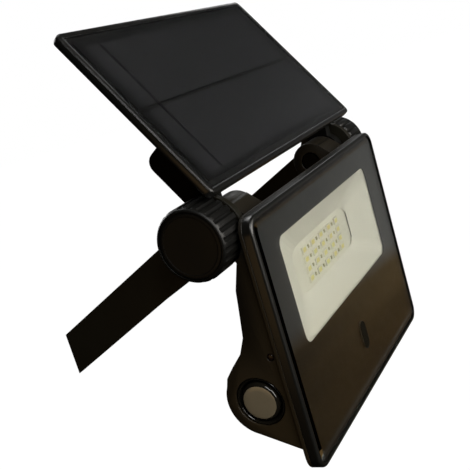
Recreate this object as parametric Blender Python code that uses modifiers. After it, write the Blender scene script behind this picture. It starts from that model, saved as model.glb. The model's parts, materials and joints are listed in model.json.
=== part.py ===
"""Solar flood light on a wall bracket.

A U-shaped wall bracket carries two heads on one cross axis: an LED lamp head below and a solar panel
above. A clamp knob at each end of the axis holds both tilts. The lamp head holds the reflector, the LED
board, the battery cells and a push button in its left side.

World frame: X to the right, -Y is the lit front, Z up. The origin is the centre of the base bar's wall
face. The lamp head has its own pair of coordinates: "behind" is measured back from its front plane, and
"above" from its top edge. The panel has "along" its slope and "over" it, both from the hub axis.
"""
import math

import bmesh
import bpy
from mathutils import Matrix

# ---------------------------------------------------------------- clearances
GAP = 0.0003               # between pieces that sit against each other
SLIDE_GAP = 0.0004         # around a piece that turns or slides
SWING_GAP = 0.0014         # between the knobs and what swings past them

# ---------------------------------------------------------------- wall bracket
ARM_REACH = 0.117          # wall face to hub axis
ARM_SLOPE = math.radians(26.6)
ARM_WIDTH = 0.0226
ARM_THICKNESS = 0.004
ARM_INNER_X = 0.086
BAR_HEIGHT = 0.019
BAR_THICKNESS = 0.004
BAR_RISE = 0.0019          # bar centre above the centre of the arm ends
SLOT_SPACING = 0.080
SLOT_LENGTH = 0.014
SLOT_WIDTH = 0.0055

# ---------------------------------------------------------------- hub stack, from the middle outwards
EAR_RADIUS = 0.0124
EAR_INNER_X = 0.055
WASHER_THICKNESS = 0.0008
WASHER_RADIUS = 0.0105
NECK_WIDTH = 0.0069
NECK_RING_RADIUS = 0.013
HUB_DISC_RADIUS = 0.0192
BOLT_RADIUS = 0.0030
BOLT_HEAD_RADIUS = 0.0060
BOLT_HEAD_LENGTH = 0.0045

# ---------------------------------------------------------------- clamp knobs
KNOB_RADIUS = 0.0196
KNOB_LENGTH = 0.0217
KNOB_FLUTES = 24
KNOB_FLUTE_DEPTH = 0.0010
KNOB_EDGE = 0.0010
KNOB_RIM = 0.0021
KNOB_CAP_THICKNESS = 0.0012
INSERT_RADIUS = 0.0055
INSERT_LENGTH = 0.0110

# ---------------------------------------------------------------- lamp head
LAMP_WIDTH = 0.200
LAMP_HEIGHT = 0.1394
KNOB_TO_SLAB = 0.0013      # from the knobs to the back of the slab
HUB_BELOW_TOP = 0.0058
LAMP_CORNER = 0.009
BEZEL_LIP = 0.0024
BEZEL_FLANGE_WIDTH = 0.0080  # ledge behind the edge of the glass
BEZEL_FLANGE_THICKNESS = 0.0012
PLATE_THICKNESS = 0.0020   # the housing's plate behind the bezel
HOUSING_WALL = 0.0024
HOUSING_STEP = 0.0014      # the back body stands in from the slab on each side
HOUSING_EDGE = 0.0025
GLASS_THICKNESS = 0.0030
GLASS_BEVEL = 0.0035
GLASS_BEVEL_DROP = 0.0007
GASKET_INSET = 0.0026
GASKET_WIDTH = 0.0014
GASKET_HEIGHT = 0.0009

# lobe for the battery cells, along the bottom of the back
LOBE_BEHIND = 0.0246
LOBE_BELOW = 0.0974
CELL_ROOM = 0.0042         # around the cells, to the lobe's inner wall
LOBE_TOP_ANGLE = 29.0
LOBE_BOTTOM_ANGLE = -72.0
LOBE_FOOT_BELOW = 0.1264
# back of the housing between the scoop at the hub and the lobe: (behind the face, below the top edge)
BACK_LINE = [(0.0192, 0.0355), (0.0212, 0.0483), (0.0234, 0.0610), (0.0278, 0.0698), (0.0348, 0.0770),
             (0.0400, 0.0830)]
SCOOP_END = 226.0

# light window and optics
WINDOW_WIDTH = 0.1462
WINDOW_HEIGHT = 0.0604
WINDOW_BELOW_TOP = 0.0492  # centre of the window
WINDOW_CORNER = 0.006
PRINT_THICKNESS = 0.0003
REFLECTOR_WALL = 0.0010
REFLECTOR_FLOOR_WIDTH = 0.082
REFLECTOR_FLOOR_HEIGHT = 0.0260
REFLECTOR_DEPTH = 0.0092
BOARD_THICKNESS = 0.0012
LED_COLUMNS = 5
LED_ROWS = 4
LED_PITCH_X = 0.0136
LED_PITCH_Z = 0.00575
LED_SIZE = (0.0066, 0.0010, 0.0042)
CHIP_SIZE = (0.0024, 0.0008, 0.0032)
CARRIER_THICKNESS = 0.0003

# electronics
CELL_RADIUS = 0.0130
CELL_LENGTH = 0.0655
HOLDER_WALL = 0.0015
CONTROL_BOARD = (0.080, 0.0014, 0.024)
CONTROL_BOARD_BELOW = 0.0640
CONTROL_BOARD_BEHIND = 0.0165
SENSOR_WIDTH = 0.0080
SENSOR_HEIGHT = 0.0170
SENSOR_BELOW = 0.1075
SENSOR_BOARD = (0.014, 0.0010, 0.020)
SENSOR_BOARD_BEHIND = 0.0080
DETECTOR_RADIUS = 0.0025
DETECTOR_LENGTH = 0.0022

# push button in the left side of the lobe
BUTTON_RADIUS = 0.0110
BUTTON_CAP_LENGTH = 0.0045
BUTTON_PROUD = 0.0008
BUTTON_TRAVEL = 0.0015
BUTTON_STEM_RADIUS = 0.0030
BUTTON_STEM_LENGTH = 0.0040
BUTTON_RING_RADIUS = 0.0136
BUTTON_RING_LENGTH = 0.0070
SWITCH_SIZE = 0.0120
SWITCH_LENGTH = 0.0070
PLUNGER_RADIUS = 0.0024
PLUNGER_LENGTH = 0.0050
PLUNGER_INSIDE = 0.0020
INDICATOR_RADIUS = 0.0018
INDICATOR_BEHIND = 0.0110
INDICATOR_BELOW = 0.0729
INDICATOR_LENGTH = 0.0040

# screws that close the housing
SCREW_RADIUS = 0.0015
SCREW_HEAD_RADIUS = 0.0028
SCREW_HEAD_LENGTH = 0.0018
SCREW_LENGTH = 0.0032
TOP_SCREWS = (0.040, 0.0062)     # from the middle, and below the top edge
FOOT_SCREWS = (0.087, 0.1325)

# ---------------------------------------------------------------- solar panel
PANEL_TILT = math.radians(57.15)
PANEL_WIDTH = 0.2075
PANEL_LENGTH = 0.1109
PANEL_THICKNESS = 0.0052
PANEL_START = 0.0090       # hub axis to the panel's lower edge, along the slope
KNOB_TO_PANEL = 0.0011     # from the knobs to the panel's back, across the slope
PANEL_CORNER = 0.0036
PANEL_RIM = 0.0030
PANEL_EDGE = 0.0010
GLAZING_THICKNESS = 0.0010
CELL_THICKNESS = 0.0004
BACKING_THICKNESS = 0.0008
CELL_MARGIN = 0.0040
CELL_GAP = 0.0016
RIBBON_WIDTH = 0.0012
RIBBON_INSET = 0.0190      # ribbon to the left end of each cell sheet
NECK_LENGTH = 0.050
NECK_START = 0.0200        # where the neck meets the panel, along the slope
NECK_RING_ANGLE = 62.0     # where the neck's front leaves its ring
NECK_UNDER = 0.00125       # the neck's lower edge under the hub axis
NECK_CORNER = 0.006
FOOT_WIDTH = 0.014
FOOT_THICKNESS = 0.003
FOOT_START = 0.022
NECK_SCREWS = (0.028, 0.044)

# ---------------------------------------------------------------- worked-out places
GLASS_FRONT = 0.0002
GLASS_BACK = GLASS_FRONT + GLASS_THICKNESS
BEZEL_DEPTH = GLASS_BACK + PRINT_THICKNESS + 2 * GAP + BEZEL_FLANGE_THICKNESS
HOUSING_FRONT = BEZEL_DEPTH + GAP
SLAB_DEPTH = HOUSING_FRONT + PLATE_THICKNESS
HUB_BEHIND_FACE = SLAB_DEPTH + KNOB_TO_SLAB + KNOB_RADIUS
LOBE_RADIUS = CELL_RADIUS + CELL_ROOM + HOUSING_WALL
PANEL_BACK = KNOB_RADIUS + KNOB_TO_PANEL
PANEL_FACE = PANEL_BACK + PANEL_THICKNESS
ARM_OUTER_X = ARM_INNER_X + ARM_THICKNESS
HUB_Y = -ARM_REACH
HUB_Z = ARM_REACH * math.tan(ARM_SLOPE) - BAR_RISE
NECK_OUTER_X = ARM_INNER_X - GAP
NECK_INNER_X = NECK_OUTER_X - NECK_WIDTH
WASHER_OUTER_X = NECK_INNER_X - GAP
WASHER_INNER_X = WASHER_OUTER_X - WASHER_THICKNESS
EAR_OUTER_X = WASHER_INNER_X - GAP
KNOB_INNER_X = ARM_OUTER_X + GAP
KNOB_OUTER_X = KNOB_INNER_X + KNOB_LENGTH
SCOOP_RADIUS = KNOB_RADIUS + SWING_GAP
FACE_Y = HUB_Y - HUB_BEHIND_FACE
TOP_Z = HUB_Z + HUB_BELOW_TOP
SIDE_X = LAMP_WIDTH / 2 - HOUSING_STEP
GLASS_WIDTH = LAMP_WIDTH - 2 * (BEZEL_LIP + GAP)
MIDDLE_SEGMENTS = 32

AXES = {"X": Matrix.Rotation(math.radians(90), 4, "Y"), "Y": Matrix.Rotation(math.radians(-90), 4, "X"),
        "Z": Matrix.Identity(4)}


def clear_scene():
    """Starts from nothing, with one collection for the object and one for its cutters."""
    for old in list(bpy.data.objects):
        bpy.data.objects.remove(old)
    for name in ("solar_flood_light", "cutters"):
        made = bpy.data.collections.new(name)
        bpy.context.scene.collection.children.link(made)
    return bpy.data.collections["solar_flood_light"], bpy.data.collections["cutters"]


LIGHT, CUTTERS = clear_scene()


def material(name, colour, roughness, metallic=0.0):
    """One Principled finish."""
    made = bpy.data.materials.new(name)
    made.use_nodes = True
    shader = made.node_tree.nodes["Principled BSDF"]
    shader.inputs["Base Color"].default_value = (*colour, 1.0)
    shader.inputs["Roughness"].default_value = roughness
    shader.inputs["Metallic"].default_value = metallic
    return made


FINISHES = {
    "painted_steel": material("painted_steel", (0.012, 0.012, 0.010), 0.45),
    "zinc_steel": material("zinc_steel", (0.55, 0.56, 0.58), 0.35, 1.0),
    "black_abs": material("black_abs", (0.014, 0.013, 0.011), 0.38),
    "gloss_black": material("gloss_black", (0.010, 0.010, 0.010), 0.12),
    "clear_glass": material("clear_glass", (0.90, 0.92, 0.90), 0.05),
    "white_optic": material("white_optic", (0.80, 0.76, 0.64), 0.45),
    "led_phosphor": material("led_phosphor", (0.78, 0.70, 0.36), 0.40),
    "chip_black": material("chip_black", (0.05, 0.05, 0.04), 0.50),
    "green_board": material("green_board", (0.03, 0.16, 0.07), 0.50),
    "black_rubber": material("black_rubber", (0.02, 0.02, 0.02), 0.80),
    "cell_wrap": material("cell_wrap", (0.05, 0.10, 0.35), 0.40),
    "solar_cell": material("solar_cell", (0.022, 0.022, 0.026), 0.30),
    "smoked_lens": material("smoked_lens", (0.04, 0.05, 0.04), 0.10),
    "button_cap": material("button_cap", (0.09, 0.08, 0.06), 0.22),
    "indicator_red": material("indicator_red", (0.16, 0.03, 0.02), 0.25),
    "brass_insert": material("brass_insert", (0.70, 0.50, 0.22), 0.35, 1.0),
    "silver_ribbon": material("silver_ribbon", (0.30, 0.30, 0.30), 0.40, 1.0),
}


# ---------------------------------------------------------------- making shapes
def lamp_point(behind, below):
    """World Y and Z of a point of the lamp head."""
    return FACE_Y + behind, TOP_Z - below


def lamp_outline(points):
    """World (y, z) of an outline given as (behind, below)."""
    return [lamp_point(behind, below) for behind, below in points]


def arc(centre, radius, start, end, steps):
    """Points on an arc, from one angle in degrees to the other."""
    angles = [math.radians(start + (end - start) * step / steps) for step in range(steps + 1)]
    return [(centre[0] + radius * math.cos(a), centre[1] + radius * math.sin(a)) for a in angles]


def from_bmesh(name, shape, finish=None, frame=None):
    """An object from a bmesh. Without a finish it is a cutter or a helper."""
    bmesh.ops.recalc_face_normals(shape, faces=shape.faces)
    mesh = bpy.data.meshes.new(name)
    shape.to_mesh(mesh)
    shape.free()
    return add_object(name, mesh, finish, frame)


def add_object(name, mesh, finish=None, frame=None):
    """Links a mesh as a piece, or as a helper when it has no finish."""
    made = bpy.data.objects.new(name, mesh)
    if finish is None:
        CUTTERS.objects.link(made)
        made.hide_render = True
        made.display_type = "WIRE"
    else:
        LIGHT.objects.link(made)
        mesh.materials.append(FINISHES[finish])
        mesh.shade_smooth()
        mesh.set_sharp_from_angle(angle=math.radians(32))
    if frame is not None:
        made.parent = frame
    return made


def block(name, low, high, finish=None, frame=None, round_axis=None, radius=0.0, segments=4):
    """A box between two corners, with the four edges along one axis rounded."""
    shape = bmesh.new()
    bmesh.ops.create_cube(shape, size=1.0)
    size = [h - l for l, h in zip(low, high)]
    centre = [(h + l) / 2 for l, h in zip(low, high)]
    bmesh.ops.transform(shape, matrix=Matrix.Translation(centre) @ Matrix.Diagonal((*size, 1)), verts=shape.verts)
    if round_axis:
        along = "XYZ".index(round_axis)
        edges = [e for e in shape.edges
                 if abs(e.verts[0].co[along] - e.verts[1].co[along]) > size[along] / 2]
        bmesh.ops.bevel(shape, geom=edges, offset=radius, segments=segments, profile=0.5, affect="EDGES")
    return from_bmesh(name, shape, finish, frame)


def rod(name, axis, start, end, centre, radius, finish=None, frame=None, segments=MIDDLE_SEGMENTS,
        edge=0.0):
    """A cylinder along an axis. The centre holds the other two coordinates, in X, Y, Z order."""
    shape = bmesh.new()
    bmesh.ops.create_cone(shape, cap_ends=True, segments=segments, radius1=radius, radius2=radius,
                          depth=abs(end - start))
    if edge:
        rims = [e for e in shape.edges if abs(e.verts[0].co.z - e.verts[1].co.z) < 1e-6]
        bmesh.ops.bevel(shape, geom=rims, offset=edge, segments=2, profile=0.5, affect="EDGES")
    place = list(centre)
    place.insert("XYZ".index(axis), (start + end) / 2)
    bmesh.ops.transform(shape, matrix=Matrix.Translation(place) @ AXES[axis], verts=shape.verts)
    return from_bmesh(name, shape, finish, frame)


def prism(name, outline, low_x, high_x, finish=None, frame=None, edge=0.0, edge_from=None):
    """A flat outline in Y and Z, extruded along X. The edge rounds its two sides, behind a given Y."""
    curve = bpy.data.curves.new(name, "CURVE")
    curve.dimensions = "2D"
    curve.fill_mode = "BOTH"
    curve.extrude = (high_x - low_x) / 2
    line = curve.splines.new("POLY")
    line.points.add(len(outline) - 1)
    for point, (across, up) in zip(line.points, outline):
        point.co = (across, up, 0, 1)
    line.use_cyclic_u = True
    guide = bpy.data.objects.new(name + "_outline", curve)
    CUTTERS.objects.link(guide)
    bpy.context.view_layer.update()
    mesh = bpy.data.meshes.new_from_object(guide.evaluated_get(bpy.context.evaluated_depsgraph_get()))
    bpy.data.objects.remove(guide)
    shape = bmesh.new()
    shape.from_mesh(mesh)
    bpy.data.meshes.remove(mesh)
    bmesh.ops.remove_doubles(shape, verts=shape.verts, dist=0.00001)
    turn = Matrix(((0, 0, 1, (low_x + high_x) / 2), (1, 0, 0, 0), (0, 1, 0, 0), (0, 0, 0, 1)))
    bmesh.ops.transform(shape, matrix=turn, verts=shape.verts)
    if edge:
        rims = [e for e in shape.edges if abs(e.verts[0].co.x - e.verts[1].co.x) < 1e-6
                and max(v.co.y for v in e.verts) > edge_from + 1e-6 and e.calc_face_angle(0) > math.radians(60)]
        bmesh.ops.bevel(shape, geom=rims, offset=edge, segments=2, profile=0.5, affect="EDGES",
                        clamp_overlap=True)
    return from_bmesh(name, shape, finish, frame)


def combine(target, others, operation):
    """Adds one Boolean for each helper."""
    for other in others:
        step = target.modifiers.new(other.name, "BOOLEAN")
        step.operation = operation
        step.solver = "EXACT"
        step.object = other
    return target


def join_in(target, others):
    return combine(target, others, "UNION")


def cut(target, others):
    return combine(target, others, "DIFFERENCE")


def gathered(name, pieces):
    """Helpers that stand apart from each other, made one helper."""
    shape = bmesh.new()
    for piece in pieces:
        shape.from_mesh(piece.data)
        bpy.data.objects.remove(piece)
    return from_bmesh(name, shape)


def axis_empty(name, place, tilt=0.0):
    """An empty on a joint's axis. Its pieces are its children, in its own coordinates."""
    made = bpy.data.objects.new(name, None)
    made.empty_display_size = 0.02
    made.location = place
    made.rotation_euler = (tilt, 0, 0)
    LIGHT.objects.link(made)
    return made


def keep_world(pieces, frame):
    """Hangs pieces that were made in world coordinates on an axis."""
    back = Matrix.Translation(frame.location).inverted()
    for piece in pieces:
        piece.parent = frame
        piece.matrix_parent_inverse = back


# ---------------------------------------------------------------- wall bracket and pivot bolts
def wall_bracket():
    """Two arms with round ends at the hub, joined by a flat bar against the wall."""
    half = ARM_WIDTH / 2
    slope = math.degrees(ARM_SLOPE)
    spread = math.degrees(math.asin(half / HUB_DISC_RADIUS))
    end_half = half / math.cos(ARM_SLOPE)
    outline = arc((HUB_Y, HUB_Z), HUB_DISC_RADIUS, spread - slope, 360 - spread - slope, 40)
    outline += [(0, -BAR_RISE - end_half), (0, -BAR_RISE + end_half)]
    bar = block("wall_bracket", (-ARM_INNER_X - ARM_THICKNESS / 2, -BAR_THICKNESS, -BAR_HEIGHT / 2),
                (ARM_INNER_X + ARM_THICKNESS / 2, 0, BAR_HEIGHT / 2), "painted_steel")
    arms = [prism("arm_left", outline, -ARM_OUTER_X, -ARM_INNER_X),
            prism("arm_right", outline, ARM_INNER_X, ARM_OUTER_X)]
    join_in(bar, arms)
    slot_ends = (SLOT_LENGTH - SLOT_WIDTH) / 2
    holes = [rod("pivot_hole", "X", -LAMP_WIDTH / 2, LAMP_WIDTH / 2, (HUB_Y, HUB_Z), BOLT_RADIUS + SLIDE_GAP)]
    for side in (-1, 1):
        centre = side * SLOT_SPACING / 2
        holes.append(block("slot_%d" % side, (centre - SLOT_LENGTH / 2, -2 * BAR_THICKNESS, -SLOT_WIDTH / 2),
                           (centre + SLOT_LENGTH / 2, BAR_THICKNESS, SLOT_WIDTH / 2), None, None,
                           "Y", min(slot_ends, SLOT_WIDTH / 2 - 0.00001), 6))
    cut(bar, holes)


def pivot_pieces(side, word):
    """The bolt through one side of the hub stack, and the washer between ear and neck."""
    head = rod(word + "_pivot_bolt", "X", side * (EAR_INNER_X + GAP), side * (EAR_INNER_X + BOLT_HEAD_LENGTH),
               (HUB_Y, HUB_Z), BOLT_HEAD_RADIUS, "zinc_steel", None, 6)
    shank = rod(word + "_shank", "X", side * (EAR_INNER_X + BOLT_HEAD_LENGTH / 2),
                side * (KNOB_INNER_X + INSERT_LENGTH), (HUB_Y, HUB_Z), BOLT_RADIUS, None, None, 24)
    join_in(head, [shank])
    washer = rod(word + "_friction_washer", "X", side * WASHER_INNER_X, side * WASHER_OUTER_X,
                 (HUB_Y, HUB_Z), WASHER_RADIUS, "black_rubber")
    cut(washer, [rod(word + "_washer_hole", "X", side * EAR_INNER_X, side * ARM_OUTER_X, (HUB_Y, HUB_Z),
                     BOLT_RADIUS + SLIDE_GAP, None, None, 24)])


# ---------------------------------------------------------------- clamp knobs
def knob(side, word):
    """A fluted clamp knob with a brass insert and a flat cap sunk inside its rim."""
    hub = (HUB_Y, HUB_Z)
    axis = axis_empty(word + "_knob_axis", (side * KNOB_INNER_X, *hub))
    shape = bmesh.new()
    bmesh.ops.create_cone(shape, cap_ends=True, segments=KNOB_FLUTES * 6, radius1=KNOB_RADIUS,
                          radius2=KNOB_RADIUS, depth=KNOB_LENGTH)
    rims = [e for e in shape.edges if abs(e.verts[0].co.z - e.verts[1].co.z) < 1e-6]
    bmesh.ops.bevel(shape, geom=rims, offset=KNOB_EDGE, segments=2, profile=0.5, affect="EDGES")
    for point in shape.verts:
        reach = math.hypot(point.co.x, point.co.y)
        turn = math.atan2(point.co.y, point.co.x) * KNOB_FLUTES
        depth = KNOB_FLUTE_DEPTH * (0.5 - 0.5 * math.cos(turn)) ** 1.5
        point.co.xy *= (reach - depth) / reach
    middle = side * (KNOB_INNER_X + KNOB_LENGTH / 2)
    bmesh.ops.transform(shape, matrix=Matrix.Translation((middle, *hub)) @ AXES["X"], verts=shape.verts)
    body = from_bmesh(word + "_knob", shape, "black_abs")
    face_radius = KNOB_RADIUS - KNOB_RIM
    cap_inner = side * (KNOB_OUTER_X - KNOB_CAP_THICKNESS)
    insert_end = side * (KNOB_INNER_X + INSERT_LENGTH)
    cap_outer = side * (KNOB_OUTER_X - 0.0004)
    cut(body, [
        rod(word + "_cap_seat", "X", cap_inner - side * GAP, side * (KNOB_OUTER_X + GAP), hub, face_radius,
            segments=48),
        rod(word + "_insert_seat", "X", side * (KNOB_INNER_X - GAP), insert_end + side * GAP, hub,
            INSERT_RADIUS + GAP, segments=6),
        rod(word + "_bolt_room", "X", side * KNOB_INNER_X, insert_end + side * 0.002, hub,
            BOLT_RADIUS + SLIDE_GAP, segments=24)])
    cap = rod(word + "_knob_cap", "X", cap_inner, cap_outer, hub, face_radius - GAP, "black_abs", None, 48)
    insert = rod(word + "_knob_insert", "X", side * KNOB_INNER_X + side * GAP, insert_end, hub,
                 INSERT_RADIUS, "brass_insert", None, 6)
    cut(insert, [rod(word + "_thread", "X", side * (KNOB_INNER_X - GAP), insert_end + side * GAP, hub,
                     BOLT_RADIUS + SLIDE_GAP, None, None, 24)])
    keep_world([body, cap, insert], axis)


# ---------------------------------------------------------------- lamp head
def housing_outline(inset, front):
    """The side outline of the housing's back, from a depth behind the face. The inset moves it inwards."""
    scoop_radius = SCOOP_RADIUS + inset
    reach = min((HUB_BEHIND_FACE - front) / scoop_radius, 1.0)
    start = 180 + math.degrees(math.acos(reach))
    points = arc((HUB_BEHIND_FACE, -HUB_BELOW_TOP), scoop_radius, start, SCOOP_END, 6)
    points[0] = (front, points[0][1])
    points += [(behind - inset, -below - 0.25 * inset) for behind, below in BACK_LINE]
    points += arc((LOBE_BEHIND, -LOBE_BELOW), LOBE_RADIUS - inset, LOBE_TOP_ANGLE, LOBE_BOTTOM_ANGLE, 14)
    points.append((front, 1.1 * inset - LOBE_FOOT_BELOW))
    return [lamp_point(behind, -height) for behind, height in points]


def slab(name, low, high, inset, corner, finish=None):
    """A plate of the lamp's front outline, from one depth behind the face to another."""
    half = LAMP_WIDTH / 2 - inset
    top = TOP_Z - inset
    bottom = TOP_Z - LAMP_HEIGHT + inset
    return block(name, (-half, FACE_Y + low, bottom), (half, FACE_Y + high, top), finish, None, "Y", corner, 5)


def rear_housing():
    """The moulded back of the lamp: slab rim, thin back, battery lobe and two hinge ears."""
    body = slab("rear_housing", HOUSING_FRONT, SLAB_DEPTH, 0, LAMP_CORNER, "black_abs")
    back_front = SLAB_DEPTH - 0.001
    back = prism("housing_back", housing_outline(0, back_front), -SIDE_X, SIDE_X, None, None, HOUSING_EDGE,
                 FACE_Y + back_front)
    ears = []
    for side, word in ((-1, "left"), (1, "right")):
        ears.append(rod(word + "_ear", "X", side * EAR_INNER_X, side * EAR_OUTER_X, (HUB_Y, HUB_Z),
                        EAR_RADIUS, edge=0.0006))
        web = [(HUB_BEHIND_FACE - 0.6 * EAR_RADIUS, HUB_BELOW_TOP - 0.8 * EAR_RADIUS),
               (SLAB_DEPTH - HOUSING_WALL / 2, HUB_BELOW_TOP + 0.003),
               (BACK_LINE[0][0] - HOUSING_WALL / 2, BACK_LINE[0][1] + 0.004),
               (HUB_BEHIND_FACE + 0.90 * EAR_RADIUS, HUB_BELOW_TOP + 0.30 * EAR_RADIUS),
               (HUB_BEHIND_FACE, HUB_BELOW_TOP)]
        ears.append(prism(word + "_web", lamp_outline(web), min(side * EAR_INNER_X, side * EAR_OUTER_X),
                          max(side * EAR_INNER_X, side * EAR_OUTER_X)))
    room_side = SIDE_X - HOUSING_WALL
    room = prism("housing_room", housing_outline(HOUSING_WALL, HOUSING_FRONT - 0.001), -room_side, room_side)
    groove = slab("gasket_groove", HOUSING_FRONT - 0.001, HOUSING_FRONT + GASKET_HEIGHT + GAP, GASKET_INSET - GAP,
                  LAMP_CORNER - GASKET_INSET)
    cut(groove, [gasket_middle("groove_middle", -GAP)])
    join_in(body, [back])
    join_in(body, ears)
    cut(body, [room, groove])
    hub = (HUB_Y, HUB_Z)
    button = lamp_point(LOBE_BEHIND, LOBE_BELOW)
    holes = [rod("ear_bores", "X", -LAMP_WIDTH / 2, LAMP_WIDTH / 2, hub, BOLT_RADIUS + SLIDE_GAP,
                 segments=24)]
    for side, word in ((-1, "left"), (1, "right")):
        holes.append(rod(word + "_head_room", "X", side * (EAR_INNER_X - 0.001),
                         side * (EAR_INNER_X + BOLT_HEAD_LENGTH + GAP), hub, BOLT_HEAD_RADIUS + SLIDE_GAP,
                         segments=24))
    holes.append(rod("button_hole", "X", -LAMP_WIDTH / 2, -room_side + 0.001, button,
                     BUTTON_RING_RADIUS + GAP))
    holes.append(rod("indicator_hole", "X", -LAMP_WIDTH / 2, -room_side + 0.001,
                     lamp_point(INDICATOR_BEHIND, INDICATOR_BELOW), INDICATOR_RADIUS + GAP, segments=16))
    for number, (x, below) in enumerate(screw_places()):
        holes.append(rod("screw_hole_%d" % number, "Y", FACE_Y, FACE_Y + SLAB_DEPTH + 0.001,
                         (x, TOP_Z - below), SCREW_RADIUS + GAP, segments=16))
    cut(body, holes)
    return body


def gasket_middle(name, margin):
    """The block that leaves only the ring of the gasket or of its groove."""
    inset = GASKET_INSET + GASKET_WIDTH - margin
    return slab(name, 0, SLAB_DEPTH, inset, max(LAMP_CORNER - inset, 0.001))


def screw_places():
    """Where the housing screws stand on the slab: two beside the hub, three along the foot."""
    reach, foot = FOOT_SCREWS
    return [(-TOP_SCREWS[0], TOP_SCREWS[1]), (TOP_SCREWS[0], TOP_SCREWS[1]), (-reach, foot), (0.0, foot),
            (reach, foot)]


def front_pieces():
    """Bezel, glass, its printed mask and the gasket behind them."""
    bezel = slab("front_bezel", 0, BEZEL_DEPTH, 0, LAMP_CORNER, "black_abs")
    soft = bezel.modifiers.new("soft_front", "BEVEL")
    soft.width = 0.0012
    soft.segments = 3
    soft.limit_method = "ANGLE"
    soft.angle_limit = math.radians(60)
    glass_corner = LAMP_CORNER - BEZEL_LIP
    flange_front = BEZEL_DEPTH - BEZEL_FLANGE_THICKNESS
    inner = BEZEL_LIP + BEZEL_FLANGE_WIDTH
    cuts = [slab("bezel_opening", -0.001, flange_front, BEZEL_LIP, glass_corner),
            slab("flange_opening", 0, BEZEL_DEPTH + 0.001, inner, 0.004)]
    for number, (x, below) in enumerate(screw_places()):
        cuts.append(rod("bezel_hole_%d" % number, "Y", FACE_Y + flange_front - 0.001, FACE_Y + BEZEL_DEPTH + 0.001,
                        (x, TOP_Z - below), SCREW_RADIUS + GAP, segments=16))
    cut(bezel, cuts)
    glass = bevelled_glass(glass_corner - GAP)
    sensor = sensor_blank("sensor_opening", -0.001, GLASS_BACK + 0.001, GAP)
    cut(glass, [sensor])
    return [bezel, glass]


def bevelled_glass(corner):
    """A plate whose front edges slope back a little to the lip of the bezel."""
    shape = bmesh.new()
    helper = block("glass_blank", (-GLASS_WIDTH / 2, FACE_Y + GLASS_FRONT, TOP_Z - LAMP_HEIGHT + BEZEL_LIP + GAP),
                   (GLASS_WIDTH / 2, FACE_Y + GLASS_BACK, TOP_Z - BEZEL_LIP - GAP), None, None, "Y", corner, 5)
    shape.from_mesh(helper.data)
    bpy.data.objects.remove(helper)
    front = min(shape.faces, key=lambda face: face.calc_center_median().y)
    bmesh.ops.inset_region(shape, faces=[front], thickness=GLASS_BEVEL, use_even_offset=True)
    inner = set(front.verts)
    for point in shape.verts:
        if point not in inner and point.co.y < FACE_Y + GLASS_FRONT + 0.0001:
            point.co.y += GLASS_BEVEL_DROP
    return from_bmesh("front_glass", shape, "clear_glass")


def sensor_blank(name, low, high, margin, finish=None):
    """An upright obround around the daylight sensor's place."""
    y, z = lamp_point(0, SENSOR_BELOW)
    half = SENSOR_WIDTH / 2 + margin
    tall = SENSOR_HEIGHT / 2 + margin
    return block(name, (-half, FACE_Y + low, z - tall), (half, FACE_Y + high, z + tall), finish, None, "Y",
                 half - 0.00001, 6)


def window_blank(name, low, high, margin, corner):
    """A rounded block on the light window's place."""
    z = TOP_Z - WINDOW_BELOW_TOP
    half = WINDOW_WIDTH / 2 + margin
    tall = WINDOW_HEIGHT / 2 + margin
    return block(name, (-half, FACE_Y + low, z - tall), (half, FACE_Y + high, z + tall), None, None, "Y",
                 corner, 5)


def mask_and_gasket():
    """The black print behind the glass, and the soft ring that the glass is sealed with."""
    low = GLASS_BACK + GAP
    mask_inset = BEZEL_LIP + GAP + 0.0006
    mask = slab("glass_print", low, low + PRINT_THICKNESS, mask_inset, LAMP_CORNER - mask_inset,
                "gloss_black")
    window = window_blank("print_window", 0, 0.02, 0, WINDOW_CORNER)
    sensor = sensor_blank("print_sensor", 0, 0.02, GAP)
    cut(mask, [window, sensor])
    gasket = slab("housing_gasket", HOUSING_FRONT, HOUSING_FRONT + GASKET_HEIGHT, GASKET_INSET,
                  LAMP_CORNER - GASKET_INSET, "black_rubber")
    cut(gasket, [gasket_middle("gasket_middle", 0)])
    return [mask, gasket]


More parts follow.
